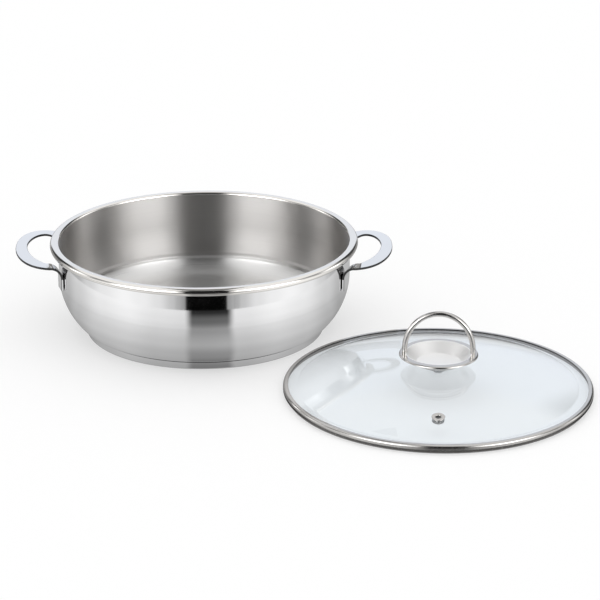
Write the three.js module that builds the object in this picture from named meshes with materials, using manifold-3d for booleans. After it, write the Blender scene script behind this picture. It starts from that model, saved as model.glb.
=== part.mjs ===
// A low stainless stew pot with a domed glass lid that lies on the floor beside it.
// Millimetres, +Z up, origin at the centre of the base's underside.
import * as THREE from "three";
import { mergeVertices } from "three/addons/utils/BufferGeometryUtils.js";
import Module from "manifold-3d";

const wasm = await Module();
wasm.setup();

// Clearances
const fitGap = 0.1; // between faces that touch on the real pot
const weldGap = 0.3; // between a turned piece and what it is welded or crimped to

// Pot shell
const potHeight = 92.4; // underside of the base to the top of the rim
const wallRadius = 142.1; // outside of the straight wall
const shellSheet = 0.9;
const rimOverhang = 7.9; // how far the rolled rim stands out past the wall
const mouthBend = 2.5; // bend from the wall to the flat top of the rim
const rollRadius = 3.7; // roll on the outside of the rim
const lipTurn = 60; // degrees that the roll goes on round below its widest line
const bellyTop = 58; // height where the straight wall turns into the belly
const bellyRadius = 66.6;
const floorBend = 6; // outer bend between the belly and the flat bottom

// Base
const coreThickness = 7.7;
const capSheet = 0.6;
const capCorner = 2.2;
const baseInset = 0.8; // how far the base stays inside the edge of the flat bottom

// Side handles
const handleReach = 33.4; // how far the bow stands out past the rim
const handleStrip = 2.2; // thickness of the strip
const bowWidth = 10.8; // width of the strip at the tip
const footWidth = 15; // width of the strip at the feet
const stripEdge = 0.5; // bevel on the strip's long edges
const armDrop = 14.4; // top of the rim down to the middle of the arms, at their bends
const tipRise = 5.8; // how much higher the tip is than the arms' bends
const footBearing = 17.5; // degrees between a foot and the handle's middle
const footDrop = 3.4; // how far a foot reaches down past the top of the belly
const armBend = 12; // middle radius of the bend from foot to arm
const armRun = 18; // how far the bow's plan keeps the arm's direction
const tipRun = 27; // how far the bow's plan keeps the tip's direction

// Lid
const lidOverlap = 1.8; // how far the band reaches out over the pot's mouth
const skirtClearance = 0.8; // between the band's skirt and the pot's mouth
const skirtDepth = 2.9;
const bandSheet = 0.6;
const bandCorner = 1;
const bandLip = 4; // how far the band covers the edge of the glass
const glassThickness = 4;
const glassMargin = 10.2; // flat edge of the glass, from its rim to the dome
const domeRise = 19.6;
const lidBearing = -37.54; // degrees, where the lid lies beside the pot
const lidTurn = -3; // degrees that the lid is turned on its axis
const lidSpacing = 18.2; // between the base and the lid's band

// Steam vent
const ventReach = 99; // from the lid's middle, towards the front
const ventFlange = 6;
const ventFlangeSheet = 0.8;
const ventBarrel = 3.5;
const ventBore = 2.4;
const ventRoll = 0.9; // how far the lower end is rolled out past the barrel
const ventWasherRadius = 5.6;
const ventWasherSheet = 0.8;

// Lid knob
const dishSheet = 0.8;
const dishDepth = 9;
const dishFloor = 20; // radius of the flat floor
const dishSlope = 10.5; // width of the well's sloping side
const dishRimWidth = 5.9; // flat rim and its edge
const dishBend = 2; // bends at the foot and the top of the slope
const dishEdge = 1.6; // bend of the outer edge
const bowBar = 2.5; // radius of the bar
const bowInset = 2.6; // from the dish's edge to the bar
const bowLeg = 3.2; // straight stretch of each leg
const bowRise = 37.2; // outer height of the arch above the legs
const gasketRadius = 12;
const gasketThickness = 1.3;
const nutRadius = 4.6;
const nutRecess = 0.4; // nut's lower end above the underside of the glass
const nutHoleGap = 0.6; // between the nut and the hole in the glass
const undersideGasketRadius = 10;
const undersideGasketThickness = 1.3;
const washerRadius = 9;
const washerThickness = 1;
const screwRadius = 2.45;
const screwHeadRadius = 5;
const screwFaceRadius = 4; // flat face of the head
const screwHeadHeight = 3;
const screwTipGap = 1; // between the screw's tip and the dish
const socketRadius = 2;
const socketDepth = 1.8;

// Facets
const largeSteps = 48;
const dishSteps = 36;
const smallSteps = 20;
const barSides = 12;
const barSteps = 24;
const bendSteps = 5;
const bowSteps = 10;
const cornerSteps = 2;
const bellySteps = 6;
const rollSteps = 5;
const domeSteps = 6;
const wellSteps = 3;
const mergeDistance = 1e-4;

// Sizes that follow
const rad = THREE.MathUtils.degToRad;
const mouthRadius = wallRadius - shellSheet;
const rimRadius = wallRadius + rimOverhang;
const mouthBendMiddle = mouthRadius + mouthBend;
const mouthBendHeight = potHeight - mouthBend;
const rollMiddle = rimRadius - rollRadius;
const rollHeight = potHeight - rollRadius;
const coreBottom = capSheet + fitGap;
const shellBottom = coreBottom + coreThickness + fitGap;
const bellyMiddle = wallRadius - bellyRadius;
const floorBendHeight = shellBottom + floorBend;
const bellyDrop = bellyTop - floorBendHeight;
const floorRadius = bellyMiddle + Math.sqrt((bellyRadius - floorBend) ** 2 - bellyDrop ** 2);
const baseRadius = floorRadius - baseInset;
const lidRadius = mouthRadius + lidOverlap;
const glassRadius = lidRadius - bandSheet - fitGap;
const glassUnderside = skirtDepth + bandSheet + fitGap;
const glassTop = glassUnderside + glassThickness;
const domeRadius = glassRadius - glassMargin; // where the dome meets the flat margin
const domeSphere = (domeRadius ** 2 + domeRise ** 2) / (2 * domeRise);
const domeMiddle = glassTop + domeRise - domeSphere;
const innerSphere = domeSphere - glassThickness;
const lidDistance = baseRadius + lidSpacing + lidRadius;
const drillLength = 3 * glassThickness; // past both faces of the glass
const ventWasherBottom = -glassThickness - 2 * weldGap - ventWasherSheet;
const dishWell = dishFloor + dishSlope;
const dishRadius = dishWell + dishRimWidth;

// Points on an arc in the (radius, height) plane, angles in radians.
function arc(middle, height, radius, from, to, steps) {
  return Array.from({ length: steps + 1 }, (_, i) => {
    const angle = from + ((to - from) * i) / steps;
    return new THREE.Vector2(middle + radius * Math.cos(angle), height + radius * Math.sin(angle));
  });
}

const at = (radius, height) => new THREE.Vector2(radius, height);

// A solid of revolution about Z. The profile runs counter-clockwise.
function turned(profile, steps) {
  return new THREE.LatheGeometry(profile, steps).rotateX(Math.PI / 2);
}

// A ring or tube, whose profile closes on itself.
function turnedRing(profile, steps) {
  return turned([...profile, profile[0].clone()], steps);
}

// A flat washer that stands on the given height.
function washerShape(bore, radius, bottom, thickness) {
  const top = bottom + thickness;
  return turnedRing([at(bore, bottom), at(radius, bottom), at(radius, top), at(bore, top)], smallSteps);
}

// A closed body through rings of corners that lie along a path.
function lofted(rings) {
  const corners = rings[0].length;
  const last = (rings.length - 1) * corners;
  const faces = [];
  for (let start = 0; start < last; start += corners) {
    for (let i = 0; i < corners; i++) {
      const a = start + i;
      const b = start + ((i + 1) % corners);
      faces.push(a, b, b + corners, a, b + corners, a + corners);
    }
  }
  for (let i = 1; i + 1 < corners; i++) {
    faces.push(0, i + 1, i, last, last + i, last + i + 1);
  }
  return new THREE.BufferGeometry().setFromPoints(rings.flat()).setIndex(faces);
}

function solidFrom(geometry) {
  const bare = new THREE.BufferGeometry().setAttribute("position", geometry.getAttribute("position"));
  const merged = mergeVertices(bare.setIndex(geometry.getIndex()), mergeDistance);
  return new wasm.Manifold(
    new wasm.Mesh({
      numProp: 3,
      vertProperties: merged.getAttribute("position").array,
      triVerts: new Uint32Array(merged.getIndex().array),
    }),
  );
}

function cutFrom(geometry, tool) {
  const mesh = solidFrom(geometry).subtract(solidFrom(tool)).getMesh();
  return new THREE.BufferGeometry()
    .setAttribute("position", new THREE.BufferAttribute(mesh.vertProperties, 3))
    .setIndex(new THREE.BufferAttribute(mesh.triVerts, 1));
}

function piece(name, geometry, color, roughness, metalness) {
  const mesh = new THREE.Mesh(geometry, new THREE.MeshStandardMaterial({ color, roughness, metalness }));
  mesh.name = name;
  return mesh;
}

const polished = (name, geometry) => piece(name, geometry, 0xd4d5d6, 0.08, 1);
const satin = (name, geometry) => piece(name, geometry, 0xb9b9ba, 0.35, 1);
const soft = (name, geometry) => piece(name, geometry, 0xd9dcdd, 0.7, 0);

// Drawn pot: flat bottom, belly, straight wall and a flat rim rolled down outside over an open channel
function potShell() {
  const bendAngle = Math.atan2(-bellyDrop, floorRadius - bellyMiddle);
  const inside = (radius) => radius - shellSheet;
  return turned(
    [
      at(0, shellBottom),
      ...arc(floorRadius, floorBendHeight, floorBend, -Math.PI / 2, bendAngle, cornerSteps),
      ...arc(bellyMiddle, bellyTop, bellyRadius, bendAngle, 0, bellySteps).slice(1),
      ...arc(mouthBendMiddle, mouthBendHeight, inside(mouthBend), Math.PI, Math.PI / 2, cornerSteps),
      ...arc(rollMiddle, rollHeight, inside(rollRadius), Math.PI / 2, -rad(lipTurn), rollSteps),
      ...arc(rollMiddle, rollHeight, rollRadius, -rad(lipTurn), Math.PI / 2, rollSteps),
      ...arc(mouthBendMiddle, mouthBendHeight, mouthBend, Math.PI / 2, Math.PI, cornerSteps),
      ...arc(bellyMiddle, bellyTop, inside(bellyRadius), 0, bendAngle, bellySteps),
      ...arc(floorRadius, floorBendHeight, inside(floorBend), bendAngle, -Math.PI / 2, cornerSteps).slice(1),
      at(0, shellBottom + shellSheet),
    ],
    largeSteps,
  );
}

// Aluminium disc, rounded below to lie in the cap
function baseCore() {
  const radius = baseRadius - capSheet - fitGap;
  const corner = capCorner - capSheet - fitGap;
  return turned(
    [
      at(0, coreBottom),
      ...arc(radius - corner, coreBottom + corner, corner, -Math.PI / 2, 0, cornerSteps),
      at(radius, coreBottom + coreThickness),
      at(0, coreBottom + coreThickness),
    ],
    largeSteps,
  );
}

// Steel cup round the disc
function baseCap() {
  const top = shellBottom - fitGap;
  const middle = baseRadius - capCorner;
  return turned(
    [
      at(0, 0),
      ...arc(middle, capCorner, capCorner, -Math.PI / 2, 0, cornerSteps),
      at(baseRadius, top),
      at(baseRadius - capSheet, top),
      ...arc(middle, capCorner, capCorner - capSheet, 0, -Math.PI / 2, cornerSteps),
      at(0, capSheet),
    ],
    largeSteps,
  );
}

// Strip handle on the +X side: up from one foot, out along the arm, round the tip and back
function sideHandle() {
  const bearing = rad(footBearing);
  const outward = new THREE.Vector3(Math.cos(bearing), Math.sin(bearing), 0);
  const along = new THREE.Vector3(-Math.sin(bearing), Math.cos(bearing), 0);
  const up = new THREE.Vector3(0, 0, 1);
  const footRadius = wallRadius + weldGap + handleStrip / 2;
  const armHeight = potHeight - armDrop;
  const bendHeight = armHeight - armBend;
  const stations = [];
  const station = (middle, across, through, width) => stations.push({ middle, across, through, width });

  const foot = outward.clone().multiplyScalar(footRadius);
  station(foot.clone().setZ(bellyTop - footDrop), along, outward, footWidth);
  for (let i = 0; i <= bendSteps; i++) {
    const angle = ((Math.PI / 2) * i) / bendSteps;
    const middle = outward.clone().multiplyScalar(footRadius + armBend * (1 - Math.cos(angle)));
    middle.setZ(bendHeight + armBend * Math.sin(angle));
    const through = outward.clone().multiplyScalar(Math.cos(angle)).addScaledVector(up, -Math.sin(angle));
    station(middle, along, through, footWidth);
  }

  const arm = outward.clone().multiplyScalar(footRadius + armBend);
  const tip = new THREE.Vector3(rimRadius + handleReach - bowWidth / 2, 0, 0);
  const plan = new THREE.CubicBezierCurve3(
    arm,
    arm.clone().addScaledVector(outward, armRun),
    tip.clone().setY(tipRun),
    tip,
  );
  for (let i = 1; i <= bowSteps; i++) {
    const share = i / bowSteps;
    const middle = plan.getPointAt(share).setZ(armHeight + tipRise * share * (2 - share));
    const across = up.clone().cross(plan.getTangentAt(share));
    station(middle, across, up.clone().negate(), footWidth + (bowWidth - footWidth) * share);
  }

  const ring = ({ middle, across, through, width }, side) => {
    const wide = width / 2;
    const deep = handleStrip / 2;
    const corners = [
      [wide, deep - stripEdge],
      [wide, stripEdge - deep],
      [wide - stripEdge, -deep],
      [stripEdge - wide, -deep],
      [-wide, stripEdge - deep],
      [-wide, deep - stripEdge],
      [stripEdge - wide, deep],
      [wide - stripEdge, deep],
    ];
    return corners.map(([a, t]) => {
      const corner = middle.clone().addScaledVector(across, a).addScaledVector(through, t);
      return corner.setY(corner.y * side);
    });
  };
  const first = stations.map((s) => ring(s, 1));
  const second = stations.slice(0, -1).reverse().map((s) => ring(s, -1));
  return lofted([...first, ...second]);
}

// Frame of the vent, on the dome and square to it
function ventFrame() {
  const frame = new THREE.Group();
  const slope = Math.asin(ventReach / domeSphere);
  frame.position.set(0, -ventReach, domeMiddle + domeSphere * Math.cos(slope));
  frame.rotation.x = slope;
  frame.updateMatrix();
  return frame;
}

// Glass disc with a flat margin, a dome, a hole for the knob's nut and one for the vent
function lidGlass() {
  const hole = nutRadius + nutHoleGap;
  const edgeAngle = Math.acos(domeRadius / domeSphere);
  const holeAngle = Math.acos(hole / domeSphere);
  const innerEdgeAngle = Math.asin((glassUnderside - domeMiddle) / innerSphere);
  const innerHoleAngle = Math.acos(hole / innerSphere);
  const disc = turnedRing(
    [
      ...arc(0, domeMiddle, innerSphere, innerHoleAngle, innerEdgeAngle, domeSteps),
      at(glassRadius, glassUnderside),
      at(glassRadius, glassTop),
      ...arc(0, domeMiddle, domeSphere, edgeAngle, holeAngle, domeSteps),
    ],
    largeSteps,
  );
  const ventHole = ventBarrel + weldGap;
  const drill = new THREE.CylinderGeometry(ventHole, ventHole, drillLength, smallSteps);
  drill.rotateX(Math.PI / 2).applyMatrix4(ventFrame().matrix);
  return cutFrom(disc, drill);
}

// Steel band folded round the edge of the glass, with a skirt that drops into the pot's mouth
function lidBand() {
  const skirt = mouthRadius - skirtClearance;
  const top = glassTop + fitGap + bandSheet;
  const corner = lidRadius - bandCorner;
  const channel = lidRadius - bandSheet;
  const lip = glassRadius - bandLip;
  return turnedRing(
    [
      at(skirt - bandSheet, 0),
      at(skirt, 0),
      at(skirt, skirtDepth),
      ...arc(corner, skirtDepth + bandCorner, bandCorner, -Math.PI / 2, 0, cornerSteps),
      ...arc(corner, top - bandCorner, bandCorner, 0, Math.PI / 2, cornerSteps),
      at(lip, top),
      at(lip, top - bandSheet),
      at(channel, top - bandSheet),
      at(channel, skirtDepth + bandSheet),
      at(skirt - bandSheet, skirtDepth + bandSheet),
    ],
    largeSteps,
  );
}

// Eyelet with a flange above the glass and its lower end rolled out under the washer
function ventEyelet() {
  const rollTop = ventWasherBottom - fitGap;
  const bottom = rollTop - ventRoll;
  return turnedRing(
    [
      at(ventBore, bottom),
      at(ventBarrel, bottom),
      at(ventBarrel + ventRoll, rollTop - ventRoll / 2),
      at(ventBarrel + ventRoll, rollTop),
      at(ventBarrel, rollTop),
      at(ventBarrel, weldGap),
      at(ventFlange, weldGap),
      at(ventFlange, weldGap + ventFlangeSheet / 2),
      at(ventFlange - ventFlangeSheet, weldGap + ventFlangeSheet),
      at(ventBore + ventFlangeSheet, weldGap + ventFlangeSheet),
      at(ventBore, weldGap + ventFlangeSheet / 2),
    ],
    smallSteps,
  );
}

// Heights of the knob's stack on the lid's axis
const domeTop = domeMiddle + domeSphere;
const domeUnderside = domeMiddle + innerSphere;
const gasketBottom = domeTop + fitGap;
const dishBottom = gasketBottom + gasketThickness + fitGap;
const dishRim = dishBottom + dishSheet + dishDepth;
const undersideSeat = domeMiddle + Math.sqrt(innerSphere ** 2 - undersideGasketRadius ** 2) - fitGap;
const undersideGasketBottom = undersideSeat - undersideGasketThickness;
const washerBottom = undersideGasketBottom - fitGap - washerThickness;
const headTop = washerBottom - fitGap;

// Pressed dish: flat floor, a straight slope between two bends, a flat rim and an edge turned down
function knobDish() {
  const slant = Math.sqrt(dishSlope ** 2 + dishDepth ** 2 - 4 * dishBend * dishDepth);
  const turn = 2 * Math.atan(dishDepth / (dishSlope + slant));
  const lowerMiddle = dishBottom + dishSheet + dishBend;
  const upperMiddle = dishRim - dishBend;
  const edgeMiddle = dishRadius - dishEdge;
  const edgeHeight = dishRim - dishEdge;
  const quarter = Math.PI / 2;
  return turned(
    [
      at(0, dishBottom),
      ...arc(dishFloor, lowerMiddle, dishBend + dishSheet, -quarter, turn - quarter, wellSteps),
      ...arc(dishWell, upperMiddle, dishBend - dishSheet, quarter + turn, quarter, cornerSteps),
      ...arc(edgeMiddle, edgeHeight, dishEdge - dishSheet, quarter, 0, cornerSteps),
      ...arc(edgeMiddle, edgeHeight, dishEdge, 0, quarter, cornerSteps),
      ...arc(dishWell, upperMiddle, dishBend, quarter, quarter + turn, wellSteps),
      ...arc(dishFloor, lowerMiddle, dishBend, turn - quarter, -quarter, wellSteps),
      at(0, dishBottom + dishSheet),
    ],
    dishSteps,
  );
}

// Round bar: a leg, half an ellipse and a leg, in the XZ plane
class BowPath extends THREE.Curve {
  getPoint(share) {
    const halfSpan = dishRadius - bowInset - bowBar;
    const rise = bowRise - bowBar;
    const legShare = bowLeg / (2 * bowLeg + Math.PI * ((halfSpan + rise) / 2));
    const foot = dishRim + fitGap;
    if (share <= legShare) {
      return new THREE.Vector3(-halfSpan, 0, foot + (bowLeg * share) / legShare);
    }
    if (share >= 1 - legShare) {
      return new THREE.Vector3(halfSpan, 0, foot + (bowLeg * (1 - share)) / legShare);
    }
    const angle = (Math.PI * (share - legShare)) / (1 - 2 * legShare);
    return new THREE.Vector3(-halfSpan * Math.cos(angle), 0, foot + bowLeg + rise * Math.sin(angle));
  }
}

function knobBow() {
  const circle = new THREE.Shape().absarc(0, 0, bowBar, 0, 2 * Math.PI);
  return new THREE.ExtrudeGeometry(circle, {
    steps: barSteps,
    curveSegments: barSides / 2,
    extrudePath: new BowPath(),
    bevelEnabled: false,
  });
}

function knobNut() {
  const bottom = domeUnderside + nutRecess;
  const top = dishBottom - fitGap;
  return washerShape(screwRadius + fitGap, nutRadius, bottom, top - bottom);
}

// Pan head with a hexagon socket, and a plain shank up into the nut
function knobScrew() {
  const headBottom = headTop - screwHeadHeight;
  const tip = dishBottom - screwTipGap;
  const blank = turned(
    [
      at(0, headBottom),
      at(screwFaceRadius, headBottom),
      at(screwHeadRadius, headBottom + screwHeadHeight / 2),
      at(screwHeadRadius, headTop),
      at(screwRadius, headTop),
      at(screwRadius, tip),
      at(0, tip),
    ],
    smallSteps,
  );
  const socket = new THREE.CylinderGeometry(socketRadius, socketRadius, 2 * socketDepth, 6);
  socket.rotateX(Math.PI / 2).translate(0, 0, headBottom);
  return cutFrom(blank, socket);
}

const pot = new THREE.Group();
pot.add(
  polished("pot_shell", potShell()),
  piece("base_core", baseCore(), 0xc2c4c6, 0.5, 1),
  polished("base_cap", baseCap()),
);
for (const [name, turn] of [["handle_right", 0], ["handle_left", Math.PI]]) {
  const handle = polished(name, sideHandle());
  handle.rotation.z = turn;
  pot.add(handle);
}

const vent = ventFrame();
vent.add(
  polished("vent_eyelet", ventEyelet()),
  satin("vent_washer", washerShape(ventBarrel + fitGap, ventWasherRadius, ventWasherBottom, ventWasherSheet)),
);

const lid = new THREE.Group();
lid.position.set(lidDistance * Math.cos(rad(lidBearing)), lidDistance * Math.sin(rad(lidBearing)), 0);
lid.rotation.z = rad(lidTurn);
lid.add(
  piece("lid_glass", lidGlass(), 0xdfe7ea, 0.02, 0),
  polished("lid_band", lidBand()),
  vent,
  soft("knob_gasket", washerShape(nutRadius + fitGap, gasketRadius, gasketBottom, gasketThickness)),
  polished("knob_dish", knobDish()),
  polished("knob_bow", knobBow()),
  satin("knob_nut", knobNut()),
  soft(
    "underside_gasket",
    washerShape(screwRadius + fitGap, undersideGasketRadius, undersideGasketBottom, undersideGasketThickness),
  ),
  satin("knob_washer", washerShape(screwRadius + fitGap, washerRadius, washerBottom, washerThickness)),
  satin("knob_screw", knobScrew()),
);

const stewPot = new THREE.Group();
stewPot.add(pot, lid);
export default stewPot;
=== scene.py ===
"""Looks of a low stainless stew pot and of its glass lid, which lies beside it. Metres, +Z up."""

import math

import bmesh
import bpy
from mathutils import Matrix, Vector


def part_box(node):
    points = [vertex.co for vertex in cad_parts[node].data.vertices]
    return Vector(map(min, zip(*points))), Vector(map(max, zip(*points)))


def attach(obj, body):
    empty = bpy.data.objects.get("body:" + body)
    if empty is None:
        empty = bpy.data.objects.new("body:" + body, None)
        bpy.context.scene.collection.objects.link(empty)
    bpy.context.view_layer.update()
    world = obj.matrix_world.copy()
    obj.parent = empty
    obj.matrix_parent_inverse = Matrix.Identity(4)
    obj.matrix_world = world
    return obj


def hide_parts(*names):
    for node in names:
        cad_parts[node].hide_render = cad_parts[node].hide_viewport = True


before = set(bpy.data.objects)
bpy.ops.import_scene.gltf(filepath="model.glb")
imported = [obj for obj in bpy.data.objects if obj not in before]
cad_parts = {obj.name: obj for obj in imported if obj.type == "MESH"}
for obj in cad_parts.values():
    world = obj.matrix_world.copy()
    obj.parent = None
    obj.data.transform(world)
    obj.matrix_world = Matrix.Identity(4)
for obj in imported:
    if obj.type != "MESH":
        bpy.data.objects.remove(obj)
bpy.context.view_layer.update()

# Sizes from the frame
shell_low, shell_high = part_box("pot_shell")
cap_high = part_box("base_cap")[1]
band_low, band_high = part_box("lid_band")
glass_low, glass_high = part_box("lid_glass")
dish_low, dish_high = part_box("knob_dish")
bow_low, bow_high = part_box("knob_bow")
handle_low, handle_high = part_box("handle_right")
rim_radius = shell_high.x
pot_height = shell_high.z
shell_bottom = shell_low.z
base_radius = cap_high.x
lid_place = Vector(((band_low.x + band_high.x) / 2, (band_low.y + band_high.y) / 2, 0))
lid_radius = (band_high.x - band_low.x) / 2
band_top = band_high.z
glass_radius = (glass_high.x - glass_low.x) / 2
dish_radius = (dish_high.x - dish_low.x) / 2
dish_bottom = dish_low.z
dish_rim = dish_high.z

# Gap between faces that touch on the real pot
fit_gap = 0.0001

# Pot shell
wall_radius = 0.1421
shell_sheet = 0.0009
mouth_bend = 0.0025
roll_radius = 0.0037
lip_turn = math.radians(60)
belly_top = 0.058
belly_radius = 0.0666
floor_bend = 0.006
inner_bend = 0.030
ridge_high = 0.030
ridge_low = 0.0235
ridge_depth = 0.0011

# Base
cap_sheet = 0.0006
cap_corner = 0.0022
cap_bevel = 0.0013
cap_land = 0.00006

# Side handles
strip = 0.0022
strip_edge = 0.0005
bow_width = 0.0108
foot_width = 0.015
arm_drop = 0.0144
tip_rise = 0.0058
foot_bearing = math.radians(17.5)
foot_gap = 0.0003
arm_bend = 0.012
arm_run = 0.018
tip_run = 0.027

# Lid
band_sheet = 0.0006
band_corner = 0.0012
band_shoulder = 0.0024
band_lip = 0.004
skirt_depth = 0.0029
skirt_inset = 0.0026
skirt_edge = 0.0002
lip_round = 0.0003
glass_thickness = 0.004
glass_margin = 0.0102
glass_edge = 0.0019
dome_rise = 0.0196
knob_hole = 0.0052
lid_turn = math.radians(-3)

# Steam vent
vent_reach = 0.099
vent_flange = 0.006
vent_sheet = 0.0008
vent_barrel = 0.0035
vent_bore = 0.0024
vent_roll = 0.0009
vent_gap = 0.0003
washer_sheet = 0.0008

# Knob
dish_sheet = 0.0008
dish_depth = 0.009
dish_floor = 0.020
dish_slope = 0.0105
dish_bend = 0.002
dish_edge = 0.0016
bow_bar = 0.0025
bow_inset = 0.0026
bow_leg = 0.0032

# Facets
around_large = 192
around_dish = 128
around_floor = 96
around_small = 64
screen_steps = 40
sharp_fold = math.radians(32)

# Camera
camera_place = (0.0934, -2.214, 0.854)
camera_pitch = math.radians(20.49)
camera_lens = 144.0
camera_sensor = 36.0

# Stage
studio_radius = 9.0
studio_shift = 1.0
studio_level = -0.0002
lid_paper_level = -0.0003
lid_paper_radius = 0.152
gap_bearing = math.radians(3.3)
gap_image = math.radians(4.5)
gap_image_dark = math.radians(8)
gap_image_edge = math.radians(12.5)
apron_gap = 0.0006
apron_lift = 0.0002
apron_start = 0.133
apron_step = 0.0098
apron_radius = 0.190
apron_rise = 0.0225
apron_top = 0.051
apron_length = 0.1036
screen_top = 0.088
screen_start = math.radians(16)
screen_sweep = math.radians(60)
screen_spread = 1.57
screen_shift = math.radians(2.56)
flag_height = 0.62
flag_half = 0.13
flag_front = -0.35
flag_back = 0.2

# Sizes that follow
mouth_radius = wall_radius - shell_sheet
mouth_middle = mouth_radius + mouth_bend
mouth_height = pot_height - mouth_bend
roll_middle = rim_radius - roll_radius
roll_height = pot_height - roll_radius
belly_middle = wall_radius - belly_radius
bend_height = shell_bottom + floor_bend
belly_drop = belly_top - bend_height
floor_radius = belly_middle + math.sqrt((belly_radius - floor_bend) ** 2 - belly_drop ** 2)
inner_height = shell_bottom + shell_sheet + inner_bend
inner_drop = belly_top - inner_height
inner_floor = belly_middle + math.sqrt((belly_radius - shell_sheet - inner_bend) ** 2 - inner_drop ** 2)
glass_top = band_top - band_sheet - fit_gap
glass_underside = glass_top - glass_thickness
dome_radius = glass_radius - glass_margin
dome_sphere = (dome_radius ** 2 + dome_rise ** 2) / (2 * dome_rise)
dome_middle = glass_top + dome_rise - dome_sphere
inner_sphere = dome_sphere - glass_thickness
dish_well = dish_floor + dish_slope
lid_frame = Matrix.Translation(lid_place) @ Matrix.Rotation(lid_turn, 4, "Z")
quarter = math.pi / 2


# Shapes

def arc(middle, height, radius, start, stop, steps):
    """Points on an arc in the (radius, height) plane."""
    angles = [start + (stop - start) * i / steps for i in range(steps + 1)]
    return [(middle + radius * math.cos(a), height + radius * math.sin(a)) for a in angles]


def finished(name, bm, slots, body, node):
    """The bmesh as a piece of the object, smooth apart from its sharp edges."""
    for face in bm.faces:
        face.smooth = True
    for edge in bm.edges:
        edge.smooth = len(edge.link_faces) == 2 and edge.calc_face_angle(0) < sharp_fold
    mesh = bpy.data.meshes.new(name)
    bm.to_mesh(mesh)
    bm.free()
    for material in slots:
        mesh.materials.append(material)
    piece = bpy.data.objects.new(name, mesh)
    bpy.context.scene.collection.objects.link(piece)
    flats = piece.modifiers.new("flats", "WEIGHTED_NORMAL")
    flats.keep_sharp = True
    flats.weight = 100
    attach(piece, body)
    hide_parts(node)
    return piece


def spun(profile, steps, closed=False):
    """A profile of (radius, height) points turned about Z, with a map of (length, turn) over it."""
    bm = bmesh.new()
    along = bm.verts.layers.float.new("along")
    verts = []
    length = 0.0
    for i, (radius, height) in enumerate(profile):
        if i:
            length += math.dist(profile[i - 1], (radius, height))
        vert = bm.verts.new((radius, 0, height))
        vert[along] = length
        verts.append(vert)
    edges = [bm.edges.new(pair) for pair in zip(verts, verts[1:])]
    if closed:
        edges.append(bm.edges.new((verts[-1], verts[0])))
    bmesh.ops.spin(
        bm, geom=verts + edges, cent=(0, 0, 0), axis=(0, 0, 1),
        angle=2 * math.pi, steps=steps, use_merge=True,
    )
    bmesh.ops.remove_doubles(bm, verts=bm.verts[:], dist=1e-6)
    bmesh.ops.recalc_face_normals(bm, faces=bm.faces[:])
    sheet_map = bm.loops.layers.uv.new("turning")
    for face in bm.faces:
        middle = face.calc_center_median()
        home = math.atan2(middle.y, middle.x)
        for loop in face.loops:
            place = loop.vert.co
            turn = home
            if math.hypot(place.x, place.y) > 1e-6:
                turn += math.remainder(math.atan2(place.y, place.x) - home, 2 * math.pi)
            loop[sheet_map].uv = (loop.vert[along], turn / (2 * math.pi))
    return bm


def swept(section, stations):
    """A closed section carried through a list of matrices, with both ends filled."""
    bm = bmesh.new()
    verts = [bm.verts.new((x, y, 0)) for x, y in section]
    ring = [bm.edges.new(pair) for pair in zip(verts, verts[1:] + verts[:1])]
    bmesh.ops.transform(bm, matrix=stations[0], verts=verts)
    bmesh.ops.contextual_create(bm, geom=ring)
    for before, after in zip(stations, stations[1:]):
        made = bmesh.ops.extrude_edge_only(bm, edges=ring)["geom"]
        fresh = [part for part in made if isinstance(part, bmesh.types.BMVert)]
        bmesh.ops.transform(bm, matrix=after @ before.inverted(), verts=fresh)
        drawn = [part for part in made if isinstance(part, bmesh.types.BMEdge)]
        ring = [edge for edge in drawn if len(edge.link_faces) == 1]
    bmesh.ops.contextual_create(bm, geom=ring)
    bmesh.ops.recalc_face_normals(bm, faces=bm.faces[:])
    return bm


def standing(middle, across, through, width=1.0):
    """A matrix that puts a section's X across and its Y through, at a place on a path."""
    along = across.cross(through)
    place = Matrix((across * width, through, along)).transposed().to_4x4()
    place.translation = middle
    return place


# Node trees

def add(tree, kind, **settings):
    """A new node with its settings."""
    node = tree.nodes.new(kind)
    for name, value in settings.items():
        setattr(node, name, value)
    return node


def feed(tree, socket, value):
    """Put a number, a colour or another node's output into a socket."""
    if isinstance(value, bpy.types.NodeSocket):
        tree.links.new(value, socket)
    else:
        socket.default_value = value


def maths(tree, operation, *values):
    """The result of one sum."""
    node = add(tree, "ShaderNodeMath", operation=operation)
    for socket, value in zip(node.inputs, values):
        feed(tree, socket, value)
    return node.outputs[0]


def mapped(tree, value, from_low, from_high, to_low, to_high, smooth=False):
    """A value taken from one range to another."""
    node = add(tree, "ShaderNodeMapRange", interpolation_type="SMOOTHSTEP" if smooth else "LINEAR")
    for socket, number in zip(node.inputs, (value, from_low, from_high, to_low, to_high)):
        feed(tree, socket, number)
    return node.outputs[0]


def blended(tree, factor, first, second):
    """A colour between two others."""
    node = add(tree, "ShaderNodeMix", data_type="RGBA")
    feed(tree, node.inputs[0], factor)
    feed(tree, node.inputs[6], first)
    feed(tree, node.inputs[7], second)
    return node.outputs[2]


def ramp(tree, factor, stops):
    """A soft run of greys over a factor from 0 to 1."""
    node = add(tree, "ShaderNodeValToRGB")
    node.color_ramp.interpolation = "EASE"
    elements = node.color_ramp.elements
    elements.remove(elements[1])
    elements[0].position = stops[0][0]
    for place, grey in stops[1:]:
        elements.new(place)
    for element, (place, grey) in zip(elements, stops):
        element.color = (grey, grey, grey, 1)
    feed(tree, node.inputs[0], factor)
    return node.outputs[0]


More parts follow.
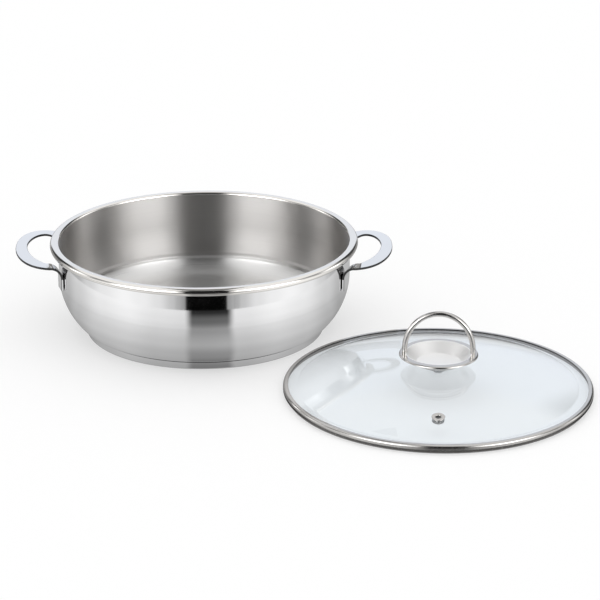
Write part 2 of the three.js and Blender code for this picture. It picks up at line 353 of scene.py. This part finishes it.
def speckle(tree, coordinates, scale, stretch=(1, 1, 1), detail=3.0, rough=0.55):
    """Noise over the given coordinates, stretched to grain or streaks."""
    turned = add(tree, "ShaderNodeMapping")
    turned.inputs["Scale"].default_value = stretch
    tree.links.new(coordinates, turned.inputs["Vector"])
    noise = add(tree, "ShaderNodeTexNoise")
    noise.inputs["Scale"].default_value = scale
    noise.inputs["Detail"].default_value = detail
    noise.inputs["Roughness"].default_value = rough
    tree.links.new(turned.outputs[0], noise.inputs["Vector"])
    return noise.outputs["Fac"]


def parted(tree, vector):
    """The three numbers of a vector."""
    node = add(tree, "ShaderNodeSeparateXYZ")
    tree.links.new(vector, node.inputs[0])
    return node.outputs


def object_place(tree):
    """Place on the object, in metres."""
    return add(tree, "ShaderNodeTexCoord").outputs["Object"]


def mixed(tree, factor, first, second):
    """Two shaders mixed by a factor."""
    mix = add(tree, "ShaderNodeMixShader")
    for socket, output in zip(mix.inputs, (factor, first.outputs[0], second.outputs[0])):
        tree.links.new(output, socket)
    return mix


def surface(tree, shader):
    """Make a shader the material's surface."""
    tree.links.new(shader.outputs[0], tree.nodes["Material Output"].inputs["Surface"])


def steel(name):
    """An empty metal material and its shader."""
    material = bpy.data.materials.new(name)
    material.use_nodes = True
    shader = material.node_tree.nodes["Principled BSDF"]
    shader.inputs["Metallic"].default_value = 1.0
    return material, material.node_tree, shader


def relief(tree, shader, height, distance, strength=1.0):
    """A bump of the given depth on a shader."""
    bump = add(tree, "ShaderNodeBump")
    bump.inputs["Strength"].default_value = strength
    bump.inputs["Distance"].default_value = distance
    tree.links.new(height, bump.inputs["Height"])
    tree.links.new(bump.outputs["Normal"], shader.inputs["Normal"])


# Materials

def polished_steel(name, tint, dull):
    """Buffed steel with faint haze, a mirror where it is little dull."""
    material, tree, shader = steel(name)
    place = object_place(tree)
    haze = speckle(tree, place, 38.0, detail=4.0)
    grain = speckle(tree, place, 900.0, (1, 1, 6))
    pale = [channel + 0.02 for channel in tint]
    deep = [channel - 0.02 for channel in tint]
    tree.links.new(blended(tree, haze, (*deep, 1), (*pale, 1)), shader.inputs["Base Color"])
    cloudy = mapped(tree, haze, 0.3, 0.7, dull, dull + 0.035)
    scratched = mapped(tree, grain, 0.2, 0.8, 0.0, 0.025)
    tree.links.new(maths(tree, "ADD", cloudy, scratched), shader.inputs["Roughness"])
    relief(tree, shader, haze, 0.00002, 0.3)
    return material


def turned_steel(name, tint, dull, streaks, anisotropy):
    """Steel ground round and round: fine streaks along the turn, highlights drawn out across them."""
    material, tree, shader = steel(name)
    turning = add(tree, "ShaderNodeUVMap", uv_map="turning").outputs["UV"]
    fine = speckle(tree, turning, 1.0, (streaks, 9.0, 1), detail=4.0, rough=0.7)
    broad = speckle(tree, turning, 1.0, (streaks * 0.16, 4.0, 1), detail=3.0)
    grain = maths(tree, "ADD", maths(tree, "MULTIPLY", fine, 0.65), maths(tree, "MULTIPLY", broad, 0.35))
    pale = [min(1.0, channel * 1.03) for channel in tint]
    deep = [channel * 0.95 for channel in tint]
    tone = blended(tree, mapped(tree, grain, 0.3, 0.7, 0.0, 1.0), (*deep, 1), (*pale, 1))
    tree.links.new(tone, shader.inputs["Base Color"])
    tree.links.new(mapped(tree, grain, 0.25, 0.75, dull - 0.05, dull + 0.05), shader.inputs["Roughness"])
    shader.inputs["Anisotropic"].default_value = anisotropy
    across = add(tree, "ShaderNodeTangent", direction_type="UV_MAP", uv_map="turning")
    tree.links.new(across.outputs[0], shader.inputs["Tangent"])
    relief(tree, shader, grain, 0.000002, 0.15)
    return material


def grained_metal(name, scale, deep, pale, dull, bump=None, stretch=(1, 1, 1), metallic=1.0):
    """Metal with a plain grain, which runs between two tones and between two levels of dullness."""
    material, tree, shader = steel(name)
    shader.inputs["Metallic"].default_value = metallic
    grain = speckle(tree, object_place(tree), scale, stretch, detail=4.0)
    tree.links.new(blended(tree, grain, (*deep, 1), (*pale, 1)), shader.inputs["Base Color"])
    tree.links.new(mapped(tree, grain, 0.2, 0.8, *dull), shader.inputs["Roughness"])
    if bump:
        relief(tree, shader, grain, *bump)
    return material


def clear_silicone():
    """Milky soft washer with a dusty skin."""
    material = bpy.data.materials.new("clear_silicone")
    material.use_nodes = True
    tree = material.node_tree
    shader = tree.nodes["Principled BSDF"]
    dust = speckle(tree, object_place(tree), 1800.0, detail=5.0)
    tone = blended(tree, dust, (0.76, 0.78, 0.79, 1), (0.86, 0.87, 0.88, 1))
    tree.links.new(tone, shader.inputs["Base Color"])
    tree.links.new(mapped(tree, dust, 0.2, 0.8, 0.45, 0.65), shader.inputs["Roughness"])
    shader.inputs["Transmission Weight"].default_value = 0.25
    relief(tree, shader, dust, 0.00002, 0.3)
    return material


def tempered_glass():
    """Clear glass, faintly blue, that lets light through to what is under it."""
    material = bpy.data.materials.new("tempered_glass")
    material.use_nodes = True
    tree = material.node_tree
    shader = tree.nodes["Principled BSDF"]
    shader.inputs["Base Color"].default_value = (0.915, 0.938, 0.955, 1)
    shader.inputs["Transmission Weight"].default_value = 1.0
    shader.inputs["IOR"].default_value = 1.5
    wave = speckle(tree, object_place(tree), 26.0, detail=1.0)
    tree.links.new(mapped(tree, wave, 0.2, 0.8, 0.0, 0.012), shader.inputs["Roughness"])
    relief(tree, shader, wave, 0.00003, 0.2)
    path = add(tree, "ShaderNodeLightPath")
    passing = maths(tree, "MAXIMUM", path.outputs["Is Shadow Ray"], path.outputs["Is Diffuse Ray"])
    clear = add(tree, "ShaderNodeBsdfTransparent")
    clear.inputs["Color"].default_value = (0.9, 0.93, 0.95, 1)
    surface(tree, mixed(tree, passing, shader, clear))
    return material


# Mirror on the pot, warmer on its rim, softer on the lid's trim
polish = polished_steel("mirror_polish", (0.86, 0.86, 0.865), 0.035)
rim_polish = polished_steel("rim_polish", (0.88, 0.858, 0.825), 0.05)
trim_polish = polished_steel("trim_polish", (0.58, 0.566, 0.55), 0.15)

# Ground wall and satin floor inside the pot
wall_brushing = turned_steel("wall_brushing", (0.6, 0.587, 0.575), 0.37, 5200.0, 1.0)
floor_satin = turned_steel("floor_satin", (0.8, 0.796, 0.787), 0.3, 4400.0, 0.92)

# Fine blasted finish in the dish, pale and even
blasted = grained_metal(
    "blasted_steel", 2200.0, (0.88, 0.875, 0.87), (0.95, 0.945, 0.94), (0.34, 0.42), (0.00001, 0.2),
    metallic=0.6,
)

# Plain turned or pressed steel, not polished
satin = grained_metal(
    "satin_steel", 1400.0, (0.6, 0.6, 0.61), (0.72, 0.72, 0.73), (0.26, 0.4), (0.00002, 0.3)
)

# Near-black steel: painted shade and painted reflection on the base's groove, the handles' edges, the band's
# lip and the vent's bore
painted_shade = grained_metal(
    "painted_shade_steel", 1600.0, (0.04, 0.04, 0.04), (0.09, 0.09, 0.09), (0.25, 0.4), (0.00003, 0.4),
    stretch=(1, 1, 0.2),
)

# Rolled disc, duller than the steel
aluminium = grained_metal(
    "plain_aluminium", 300.0, (0.7, 0.71, 0.72), (0.8, 0.81, 0.82), (0.4, 0.55), stretch=(1, 8, 1)
)

silicone = clear_silicone()
glass = tempered_glass()


# Pot

def inner_belly(bend):
    """Inner side of the belly, with a shallow ridge between the wall's grinding and the floor's."""
    steps = 120
    points = []
    for i in range(steps + 1):
        angle = bend * i / steps
        height = belly_top + (belly_radius - shell_sheet) * math.sin(angle)
        share = min(1.0, max(0.0, (ridge_high - height) / (ridge_high - ridge_low)))
        swell = ridge_depth * math.sin(math.pi * share) ** 2
        radius = belly_radius - shell_sheet - swell
        points.append((belly_middle + radius * math.cos(angle), belly_top + radius * math.sin(angle)))
    return points


def pot_body():
    """Drawn pot: polished outside and rim, ground wall inside, satin floor."""
    bend = math.atan2(-belly_drop, floor_radius - belly_middle)
    turn = math.atan2(-inner_drop, inner_floor - belly_middle)
    inside = shell_sheet
    profile = [
        (0, shell_bottom),
        *arc(floor_radius, bend_height, floor_bend, -quarter, bend, 8),
        *arc(belly_middle, belly_top, belly_radius, bend, 0, 40)[1:],
        *arc(mouth_middle, mouth_height, mouth_bend - inside, math.pi, quarter, 8),
        *arc(roll_middle, roll_height, roll_radius - inside, quarter, -lip_turn, 20),
        *arc(roll_middle, roll_height, roll_radius, -lip_turn, quarter, 36),
        *arc(mouth_middle, mouth_height, mouth_bend, quarter, math.pi, 16),
        *inner_belly(turn),
        *arc(inner_floor, inner_height, inner_bend, turn, -quarter, 40)[1:],
        (0, shell_bottom + inside),
    ]
    finishes = [polish, wall_brushing, floor_satin, rim_polish]
    bm = spun(profile, around_large)
    for face in bm.faces:
        middle = face.calc_center_median()
        reach = math.hypot(middle.x, middle.y)
        inward = face.normal.x * middle.x + face.normal.y * middle.y < -1e-9
        low = middle.z < (ridge_high + ridge_low) / 2
        if inward and middle.z < mouth_height and reach < mouth_radius + shell_sheet / 2:
            face.material_index = finishes.index(floor_satin if low else wall_brushing)
        elif low and face.normal.z > 0.9:
            face.material_index = finishes.index(floor_satin)
        elif middle.z > pot_height - 2 * roll_radius and reach > mouth_radius:
            face.material_index = finishes.index(rim_polish)
    return finished("pot_body", bm, finishes, "pot", "pot_shell")


def base_cup():
    """Steel cup that closes the base."""
    middle = base_radius - cap_corner
    top = cap_high.z
    profile = [
        (0, 0),
        *arc(middle, cap_corner, cap_corner, -quarter, 0, 10),
        (base_radius, top - cap_bevel),
        (base_radius - cap_sheet + cap_land, top),
        (base_radius - cap_sheet, top),
        *arc(middle, cap_corner, cap_corner - cap_sheet, 0, -quarter, 10),
        (0, cap_sheet),
    ]
    bm = spun(profile, around_large)
    # Painted shadow: the bevel round the top gets near-black steel for the shade in the groove where the base
    # meets the belly
    for face in bm.faces:
        face.material_index = 1 if face.calc_center_median().z > top - cap_bevel else 0
    return finished("base_cup", bm, [polish, painted_shade], "pot", "base_cap")


def strip_section():
    """Flat strip with rounded edges, one unit wide, as X across and Y through."""
    half = 0.5
    deep = strip / 2
    corners = []
    for x, y, start in ((1, 1, 0), (-1, 1, 90), (-1, -1, 180), (1, -1, 270)):
        for step in range(4):
            angle = math.radians(start + 30 * step)
            corners.append((
                x * half + (math.cos(angle) - x) * strip_edge / foot_width,
                y * deep + (math.sin(angle) - y) * strip_edge,
            ))
    return corners


def bow_handle(name, node, turn):
    """Strip bent down to two feet on the wall."""
    up = Vector((0, 0, 1))
    outward = Vector((math.cos(foot_bearing), math.sin(foot_bearing), 0))
    along = Vector((-math.sin(foot_bearing), math.cos(foot_bearing), 0))
    foot_radius = wall_radius + foot_gap + strip / 2
    arm_height = pot_height - arm_drop
    stations = [(outward * foot_radius + up * handle_low.z, along, outward, foot_width)]
    bend_steps = 12
    for i in range(bend_steps + 1):
        angle = quarter * i / bend_steps
        place = outward * (foot_radius + arm_bend * (1 - math.cos(angle)))
        place += up * (arm_height - arm_bend * (1 - math.sin(angle)))
        through = outward * math.cos(angle) - up * math.sin(angle)
        stations.append((place, along, through, foot_width))
    arm = outward * (foot_radius + arm_bend)
    tip = Vector((handle_high.x - bow_width / 2, 0, 0))
    hull = [arm, arm + outward * arm_run, tip + Vector((0, tip_run, 0)), tip]
    bow_steps = 30
    for i in range(1, bow_steps + 1):
        t = i / bow_steps
        s = 1 - t
        place = hull[0] * s ** 3 + hull[1] * 3 * s * s * t + hull[2] * 3 * s * t * t + hull[3] * t ** 3
        way = (hull[1] - hull[0]) * s * s + (hull[2] - hull[1]) * 2 * s * t + (hull[3] - hull[2]) * t * t
        way.normalize()
        place += up * (arm_height + tip_rise * t * (2 - t))
        stations.append((place, up.cross(way), -up, foot_width + (bow_width - foot_width) * t))
    first = [standing(*station) for station in stations]
    flip = Matrix.Diagonal((1, -1, 1, 1))
    second = [flip @ matrix for matrix in reversed(first[:-1])]
    turning = Matrix.Rotation(turn, 4, "Z")
    bm = swept(strip_section(), [turning @ matrix for matrix in first + second])
    # Painted shade and painted reflection: the strip's narrow edge faces get near-black steel, for the dark
    # gap they mirror and the shade by the wall
    thin = strip * 1.01
    edge_area = 9e-6
    for face in bm.faces:
        spans = sorted(edge.calc_length() for edge in face.edges)
        on_edge = len(face.verts) == 4 and spans[1] < thin and face.calc_area() < edge_area
        face.material_index = 1 if on_edge else 0
    return finished(name, bm, [polish, painted_shade], "pot", node)


# Lid

def dome_glass():
    """Tempered disc with a flat margin and a dome, drilled for the knob."""
    edge = math.acos(dome_radius / dome_sphere)
    top = math.acos(knob_hole / dome_sphere)
    inner_edge = math.asin((glass_underside - dome_middle) / inner_sphere)
    inner_top = math.acos(knob_hole / inner_sphere)
    rim = glass_radius - glass_edge
    profile = [
        *arc(0, dome_middle, inner_sphere, inner_top, inner_edge, 40),
        *arc(rim, glass_underside + glass_edge, glass_edge, -quarter, 0, 4),
        *arc(rim, glass_top - glass_edge, glass_edge, 0, quarter, 4),
        *arc(0, dome_middle, dome_sphere, edge, top, 40),
    ]
    bm = spun(profile, around_large, closed=True)
    bmesh.ops.translate(bm, verts=bm.verts[:], vec=lid_place)
    return finished("dome_glass", bm, [glass], "lid", "lid_glass")


def rim_band():
    """Steel band crimped over the edge of the glass, with the skirt that drops into the pot."""
    skirt = lid_radius - skirt_inset
    corner = lid_radius - band_corner
    shoulder = lid_radius - band_shoulder
    lip = glass_radius - band_lip
    profile = [
        (skirt - band_sheet, skirt_edge),
        (skirt - band_sheet + skirt_edge, 0),
        (skirt - skirt_edge, 0),
        (skirt, skirt_edge),
        (skirt, skirt_depth),
        *arc(corner, skirt_depth + band_corner, band_corner, -quarter, 0, 10),
        *arc(shoulder, band_top - band_shoulder, band_shoulder, 0, quarter, 16),
        *arc(lip + lip_round, band_top - lip_round, lip_round, quarter, 2 * quarter, 4),
        (lip, band_top - band_sheet),
        *arc(shoulder, band_top - band_shoulder, band_shoulder - band_sheet, quarter, 0, 8),
        *arc(corner, skirt_depth + band_corner, band_corner - band_sheet, 0, -quarter, 6),
        (skirt - band_sheet, skirt_depth + band_sheet),
    ]
    bm = spun(profile, around_large, closed=True)
    # Painted shade: the lip's inner edge gets near-black steel for the shadow line where the band meets the
    # glass
    for face in bm.faces:
        middle = face.calc_center_median()
        outward = Vector((middle.x, middle.y, 0)).normalized()
        facing = face.normal.dot(outward)
        lip_edge = facing < -0.3 and middle.z > band_top - band_sheet
        face.material_index = 1 if lip_edge else 0
    bmesh.ops.translate(bm, verts=bm.verts[:], vec=lid_place)
    return finished("rim_band", bm, [trim_polish, painted_shade], "lid", "lid_band")


def vent_frame():
    """Place of the vent on the dome, square to it."""
    slope = math.asin(vent_reach / dome_sphere)
    place = Vector((0, -vent_reach, dome_middle + dome_sphere * math.cos(slope)))
    return lid_frame @ Matrix.Translation(place) @ Matrix.Rotation(slope, 4, "X")


def vent_rivet():
    """Eyelet with a flat, round-edged flange over the glass, rolled out below."""
    roll_top = -glass_thickness - 2 * vent_gap - washer_sheet - fit_gap
    bottom = roll_top - vent_roll
    crown = vent_gap + vent_sheet
    lip = vent_sheet / 2
    profile = [
        (vent_bore, bottom),
        (vent_barrel, bottom),
        *arc(vent_barrel, roll_top - vent_roll / 2, vent_roll, -quarter / 2, 0, 4)[1:],
        (vent_barrel + vent_roll, roll_top),
        (vent_barrel, roll_top),
        (vent_barrel, vent_gap),
        *arc(vent_flange - lip, vent_gap + lip, lip, -quarter, quarter, 10),
        *arc(vent_bore + vent_sheet, crown - vent_sheet, vent_sheet, quarter, 2 * quarter, 8),
    ]
    bm = spun(profile, around_small, closed=True)
    # Painted shade: the bore below the flange gets near-black steel for the shade inside the hole
    for face in bm.faces:
        middle = face.calc_center_median()
        bore = math.hypot(middle.x, middle.y) < vent_bore + vent_sheet / 4
        face.material_index = 1 if bore and middle.z < vent_gap else 0
    bmesh.ops.transform(bm, matrix=vent_frame(), verts=bm.verts[:])
    return finished("vent_rivet", bm, [trim_polish, painted_shade], "lid", "vent_eyelet")


def grip_dish():
    """Pressed dish: flat floor, straight slope between two bends, flat rim and an edge turned down."""
    slant = math.sqrt(dish_slope ** 2 + dish_depth ** 2 - 4 * dish_bend * dish_depth)
    turn = 2 * math.atan(dish_depth / (dish_slope + slant))
    lower_middle = dish_bottom + dish_sheet + dish_bend
    upper_middle = dish_rim - dish_bend
    edge_middle = dish_radius - dish_edge
    edge_height = dish_rim - dish_edge
    profile = [
        (0, dish_bottom),
        *arc(dish_floor, lower_middle, dish_bend + dish_sheet, -quarter, turn - quarter, 10),
        *arc(dish_well, upper_middle, dish_bend - dish_sheet, quarter + turn, quarter, 8),
        *arc(edge_middle, edge_height, dish_edge - dish_sheet, quarter, 0, 8),
        *arc(edge_middle, edge_height, dish_edge, 0, quarter, 10),
        *arc(dish_well, upper_middle, dish_bend, quarter, quarter + turn, 10),
        *arc(dish_floor, lower_middle, dish_bend, turn - quarter, -quarter, 10),
        (0, dish_bottom + dish_sheet),
    ]
    bm = spun(profile, around_dish)
    for face in bm.faces:
        middle = face.calc_center_median()
        in_well = math.hypot(middle.x, middle.y) < dish_well
        face.material_index = 1 if in_well and face.normal.z > 0 else 0
    bmesh.ops.translate(bm, verts=bm.verts[:], vec=lid_place)
    return finished("grip_dish", bm, [trim_polish, blasted], "lid", "knob_dish")


def grip_bow():
    """Round bar bent to a bow over the dish."""
    half_span = dish_radius - bow_inset - bow_bar
    spring = bow_low.z + bow_leg
    rise = bow_high.z - bow_bar - spring
    across = Vector((0, 1, 0))
    stations = []

    def station(x, z, way):
        stations.append(lid_frame @ standing(Vector((x, 0, z)), across, way.cross(across)))

    station(-half_span, bow_low.z, Vector((0, 0, 1)))
    arch_steps = 60
    for i in range(arch_steps + 1):
        angle = math.pi * i / arch_steps
        way = Vector((half_span * math.sin(angle), 0, rise * math.cos(angle))).normalized()
        station(-half_span * math.cos(angle), spring + rise * math.sin(angle), way)
    station(half_span, bow_low.z, Vector((0, 0, -1)))
    bar_sides = 28
    section = []
    for i in range(bar_sides):
        angle = 2 * math.pi * i / bar_sides
        section.append((bow_bar * math.cos(angle), bow_bar * math.sin(angle)))
    bm = swept(section, stations)
    return finished("grip_bow", bm, [trim_polish], "lid", "knob_bow")


# Stage

def front_bearing(tree, place):
    """Angle round the pot from its front, in radians."""
    x, y = parted(tree, place)[:2]
    return maths(tree, "ARCTAN2", x, maths(tree, "MULTIPLY", y, -1.0))


def soft_run(tree, angle, low, high, first=0.0, last=1.0):
    """A soft run from one level to another between two angles in degrees."""
    return mapped(tree, angle, math.radians(low), math.radians(high), first, last, smooth=True)


def card_row(tree, share):
    """Cards that stand round the table: black gap in front, white at the sides, dim behind."""
    return ramp(tree, share, [
        (0.0, 0.002), (0.085, 0.002), (0.093, 0.36), (0.122, 0.48), (0.144, 0.62), (0.21, 0.86), (0.28, 0.98),
        (0.367, 1.06), (0.49, 0.93), (0.58, 0.74), (0.667, 0.5), (0.75, 0.38), (1.0, 0.38),
    ])


def box_row(tree, share):
    """Soft boxes over the cards, brightest at the front's two sides."""
    return ramp(tree, share, [
        (0.0, 0.01), (0.085, 0.01), (0.1, 0.3), (0.13, 1.0), (0.2, 2.2), (0.3, 2.2), (0.36, 1.2), (0.42, 0.3),
        (0.5, 0.18), (0.56, 0.5), (0.61, 0.8), (0.67, 0.3), (0.74, 0.03), (0.9, 0.03), (1.0, 0.03),
    ])


def studio_world():
    """White surroundings, in which what shines sees a studio with a dark gap in front."""
    world = bpy.data.worlds.new("studio")
    bpy.context.scene.world = world
    world.use_nodes = True
    world.cycles.sampling_method = "NONE"
    tree = world.node_tree
    way = add(tree, "ShaderNodeTexCoord").outputs["Generated"]
    side = maths(tree, "ABSOLUTE", maths(tree, "SUBTRACT", front_bearing(tree, way), gap_bearing))
    share = maths(tree, "DIVIDE", side, math.pi)
    upward = parted(tree, way)[2]
    height = maths(tree, "ARCSINE", upward)
    # Cards near the floor, and over them soft boxes that are strongest low down
    soft_boxes = maths(tree, "MULTIPLY", box_row(tree, share), soft_run(tree, height, 16, 34, 2.3, 0.5))
    walls = blended(tree, soft_run(tree, height, 0, 5), card_row(tree, share), soft_boxes)
    # Pale sweep behind the table
    behind = mapped(tree, share, 0.85, 0.88, 0.0, 1.0, smooth=True)
    over_floor = soft_run(tree, height, -8, 6)
    under_top = soft_run(tree, height, 34, 52, 1.0, 0.0)
    sweep = maths(tree, "MULTIPLY", behind, maths(tree, "MULTIPLY", over_floor, under_top))
    walls = blended(tree, sweep, walls, (0.84, 0.88, 0.95, 1))
    # White overhead, which starts higher up over the gap
    gap_top = mapped(tree, share, 0.1, 0.16, math.radians(66), math.radians(35), smooth=True)
    overhead = soft_run(tree, maths(tree, "SUBTRACT", height, gap_top), -5, 5)
    walls = blended(tree, overhead, walls, (0.94, 0.94, 0.94, 1))
    # Grey further below than the cards reach
    below = soft_run(tree, height, -27, -23, 1.0, 0.0)
    studio = blended(tree, below, walls, (0.4, 0.4, 0.4, 1))
    # Plain dome for all other light, white where the camera looks
    path = add(tree, "ShaderNodeLightPath")
    dome = mapped(tree, upward, 0.0, 1.0, 0.5, 1.36)
    plain = maths(tree, "MAXIMUM", path.outputs["Is Camera Ray"], dome)
    seen = blended(tree, path.outputs["Is Glossy Ray"], plain, studio)
    tree.links.new(seen, tree.nodes["Background"].inputs["Color"])


def floor_paper():
    """White paper. Part of its white is its own in the picture, so the shadows on it stay light."""
    material = bpy.data.materials.new("floor_paper")
    material.use_nodes = True
    tree = material.node_tree
    shader = tree.nodes["Principled BSDF"]
    shader.inputs["Base Color"].default_value = (0.93, 0.93, 0.93, 1)
    shader.inputs["Roughness"].default_value = 1.0
    shader.inputs["Specular IOR Level"].default_value = 0.0
    path = add(tree, "ShaderNodeLightPath")
    seen = maths(tree, "MAXIMUM", path.outputs["Is Camera Ray"], path.outputs["Is Transmission Ray"])
    own = maths(tree, "MULTIPLY", seen, 0.5)
    surface(tree, mixed(tree, own, shader, add(tree, "ShaderNodeEmission")))
    return material


def lit_sheet(name):
    """An empty material for a card that gives its own light, and that light."""
    material = bpy.data.materials.new(name)
    material.use_nodes = True
    tree = material.node_tree
    tree.nodes.remove(tree.nodes["Principled BSDF"])
    return material, tree, add(tree, "ShaderNodeEmission")


def one_sided(tree, light):
    """Let a lit card be seen from its front only."""
    back = add(tree, "ShaderNodeNewGeometry").outputs["Backfacing"]
    surface(tree, mixed(tree, back, light, add(tree, "ShaderNodeBsdfTransparent")))


def reach_out(tree, length):
    """Share of the way out over a turned sheet of the given length."""
    turning = add(tree, "ShaderNodeUVMap", uv_map="turning").outputs["UV"]
    return maths(tree, "DIVIDE", parted(tree, turning)[0], length)


def apron_card():
    """Glowing card for the paper round the pot: painted shade dim under the belly, white at its top, dimmer
    behind, with a painted reflection of the dark gap in front.
    """
    material, tree, light = lit_sheet("apron_card")
    bearing = front_bearing(tree, object_place(tree))
    share = maths(tree, "DIVIDE", maths(tree, "ABSOLUTE", bearing), math.pi)
    reach = reach_out(tree, apron_length)
    level = ramp(tree, reach, [
        (0.0, 0.5), (0.15, 0.57), (0.33, 0.7), (0.62, 0.82), (0.75, 0.92), (0.92, 1.0), (1.0, 1.06),
    ])
    fall = ramp(tree, share, [
        (0.0, 0.78), (0.11, 0.86), (0.21, 1.0), (0.3, 0.93), (0.42, 0.7), (0.5, 0.55), (1.0, 0.5),
    ])
    depth = ramp(tree, reach, [
        (0.0, 0.5), (0.12, 0.38), (0.3, 0.22), (0.62, 0.5), (0.92, 0.82), (1.0, 0.97),
    ])
    middle = maths(tree, "ABSOLUTE", maths(tree, "SUBTRACT", bearing, gap_image))
    gap = mapped(tree, middle, gap_image_dark, gap_image_edge, 1.0, 0.0, smooth=True)
    shade = maths(tree, "SUBTRACT", 1.0, maths(tree, "MULTIPLY", gap, depth))
    tone = maths(tree, "MULTIPLY", maths(tree, "MULTIPLY", level, fall), shade)
    tree.links.new(tone, light.inputs["Color"])
    one_sided(tree, light)
    return material


def screen_card():
    """The studio's cards again, as the upper wall would see them past the lid."""
    material, tree, light = lit_sheet("screen_card")
    spread = maths(tree, "MULTIPLY", front_bearing(tree, object_place(tree)), screen_spread)
    mirrored = maths(tree, "SUBTRACT", spread, screen_shift + gap_bearing)
    tree.links.new(card_row(tree, maths(tree, "DIVIDE", mirrored, math.pi)), light.inputs["Color"])
    one_sided(tree, light)
    return material


def grey_cloth():
    """Cloth that gives little light back."""
    material, tree, dark = lit_sheet("grey_cloth")
    dark.inputs["Color"].default_value = (0.2, 0.2, 0.2, 1)
    surface(tree, dark)
    return material


def shaded_paper():
    """Paper under the lid: in the dark under the band, white further out."""
    material, tree, light = lit_sheet("shaded_paper")
    level = ramp(tree, reach_out(tree, lid_paper_radius), [
        (0.0, 0.6), (0.93, 0.3), (0.96, 0.03), (0.985, 0.05), (0.999, 0.7), (1.0, 0.7),
    ])
    tree.links.new(level, light.inputs["Color"])
    surface(tree, light)
    return material


def staged(name, bm, material):
    """The bmesh as a piece of the stage."""
    mesh = bpy.data.meshes.new(name)
    bm.to_mesh(mesh)
    bm.free()
    mesh.materials.append(material)
    piece = bpy.data.objects.new(name, mesh)
    bpy.context.scene.collection.objects.link(piece)
    return piece


def shine_only(piece):
    """Let only what shines see a piece of the stage."""
    piece.visible_camera = False
    piece.visible_diffuse = False
    piece.visible_transmission = False
    piece.visible_shadow = False


def studio_floor():
    """White floor."""
    bm = bmesh.new()
    place = Matrix.Translation((0, studio_shift, studio_level))
    bmesh.ops.create_circle(bm, cap_ends=True, radius=studio_radius, segments=around_floor, matrix=place)
    floor = staged("floor", bm, floor_paper())
    floor.visible_glossy = False


def pot_apron():
    """Sheet of glowing paper with painted shade on the floor round the pot that turns up to a low wall, open
    from outside.
    """
    bm = spun([
        (base_radius + apron_gap, apron_lift),
        (apron_start, apron_step),
        (apron_radius, apron_rise),
        (apron_radius, apron_top),
    ], around_large)
    bm.faces.ensure_lookup_table()
    if max(bm.faces, key=lambda face: abs(face.normal.z)).normal.z < 0:
        bmesh.ops.reverse_faces(bm, faces=bm.faces[:])
    shine_only(staged("apron", bm, apron_card()))


def lid_screen():
    """Card that keeps the lid out of what the pot's wall reflects, open from the lid's side."""
    bm = bmesh.new()
    low = bm.verts.new((0, -apron_radius, apron_top))
    high = bm.verts.new((0, -apron_radius, screen_top))
    side = bm.edges.new((low, high))
    bmesh.ops.rotate(bm, verts=[low, high], matrix=Matrix.Rotation(screen_start, 3, "Z"))
    bmesh.ops.spin(
        bm, geom=[low, high, side], cent=(0, 0, 0), axis=(0, 0, 1), angle=screen_sweep, steps=screen_steps
    )
    bmesh.ops.recalc_face_normals(bm, faces=bm.faces[:])
    bm.faces.ensure_lookup_table()
    sheet = bm.faces[0]
    if sheet.normal.dot(sheet.calc_center_median()) > 0:
        bmesh.ops.reverse_faces(bm, faces=bm.faces[:])
    shine_only(staged("lid_screen", bm, screen_card()))


def pot_flag():
    """Grey strip high over the pot, that keeps the middle of its wall and floor dark."""
    bm = bmesh.new()
    corners = [
        (-flag_half, flag_front),
        (flag_half, flag_front),
        (flag_half, flag_back),
        (-flag_half, flag_back),
    ]
    bm.faces.new([bm.verts.new((x, y, flag_height)) for x, y in corners])
    bmesh.ops.rotate(bm, verts=bm.verts[:], matrix=Matrix.Rotation(gap_bearing, 3, "Z"))
    shine_only(staged("flag", bm, grey_cloth()))


def lid_paper():
    """Sheet of white paper under the lid."""
    profile = [(radius, lid_paper_level) for radius in (0, lid_radius, lid_paper_radius)]
    bm = spun(profile, around_large)
    bmesh.ops.translate(bm, verts=bm.verts[:], vec=lid_place)
    shine_only(staged("lid_paper", bm, shaded_paper()))


def photo_camera():
    """The photograph's viewpoint, fitted to the rims of pot and lid."""
    data = bpy.data.cameras.new("photo_camera")
    data.lens = camera_lens
    data.sensor_width = camera_sensor
    camera = bpy.data.objects.new("photo_camera", data)
    camera.location = camera_place
    camera.rotation_euler = (quarter - camera_pitch, 0, 0)
    bpy.context.scene.collection.objects.link(camera)
    bpy.context.scene.camera = camera


photo_camera()
studio_world()
studio_floor()
pot_apron()
lid_screen()
pot_flag()
lid_paper()
pot_body()
base_cup()
bow_handle("bow_handle_right", "handle_right", 0)
bow_handle("bow_handle_left", "handle_left", math.pi)
dome_glass()
rim_band()
vent_rivet()
grip_dish()
grip_bow()
for node, material in {
    "base_core": aluminium,
    "vent_washer": satin,
    "knob_gasket": silicone,
    "knob_nut": satin,
    "underside_gasket": silicone,
    "knob_washer": satin,
    "knob_screw": satin,
}.items():
    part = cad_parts[node]
    part.data.materials.clear()
    part.data.materials.append(material)

bpy.context.scene.view_settings.view_transform = "Standard"
